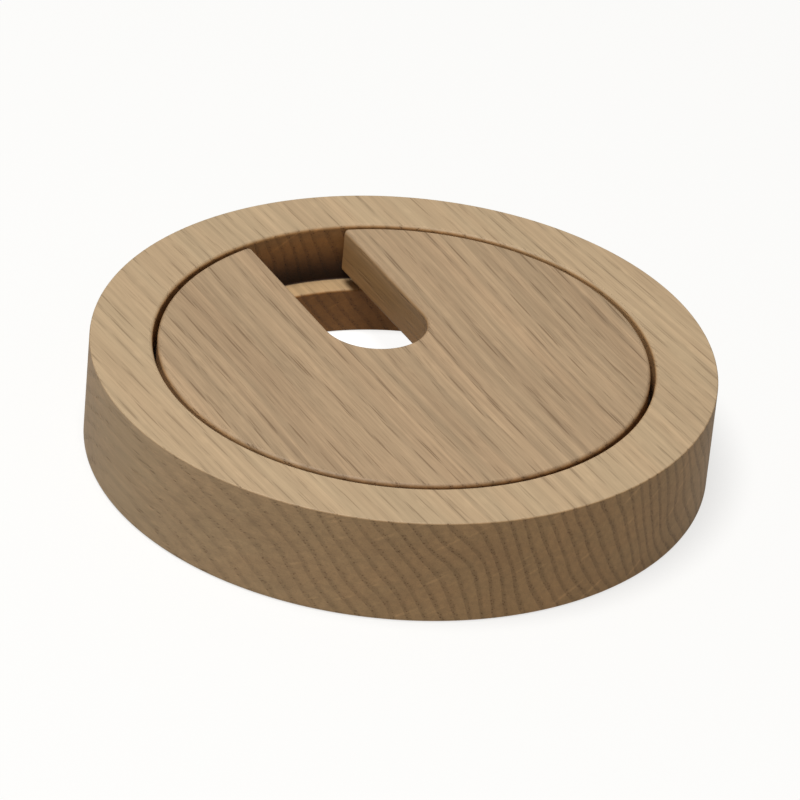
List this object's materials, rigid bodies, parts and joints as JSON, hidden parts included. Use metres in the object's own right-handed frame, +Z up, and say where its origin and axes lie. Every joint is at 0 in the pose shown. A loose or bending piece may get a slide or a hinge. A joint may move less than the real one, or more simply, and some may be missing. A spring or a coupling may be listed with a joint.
{
  "type": "desk grommet",
  "caption": "Flush round desk grommet: a solid oak lid with a U-shaped cable notch, lying in a rebated oak seat ring on hidden felt pads.",
  "frame": {"origin": "centre of the seat ring's flat underside, level with the underside of the desktop", "axes": "+Z up out of the desktop, along the lid's turning axis; +Y the way the lid's cable notch opens at rest"},
  "size_m": [0.1, 0.1, 0.018],
  "materials": {
    "ring_oak": "oiled oak, satin",
    "lid_oak": "oiled oak, satin",
    "pad_felt": "pressed wool felt"
  },
  "bodies": {
    "seat": {"seat_ring": "ring_oak"},
    "pads": {"felt_pad_1": "pad_felt", "felt_pad_2": "pad_felt", "felt_pad_3": "pad_felt", "felt_pad_4": "pad_felt"},
    "lid": {"lid": "lid_oak"}
  },
  "joints": [
    {"name": "lid_lift", "type": "slide", "parent": "seat", "child": "pads", "axis": [0, 0, 1], "range_m": [0, 0.04]},
    {"name": "lid_turn", "type": "hinge", "parent": "pads", "child": "lid", "pos_m": [0, 0, 0.018], "axis": [0, 0, 1], "continuous": true}
  ]
}
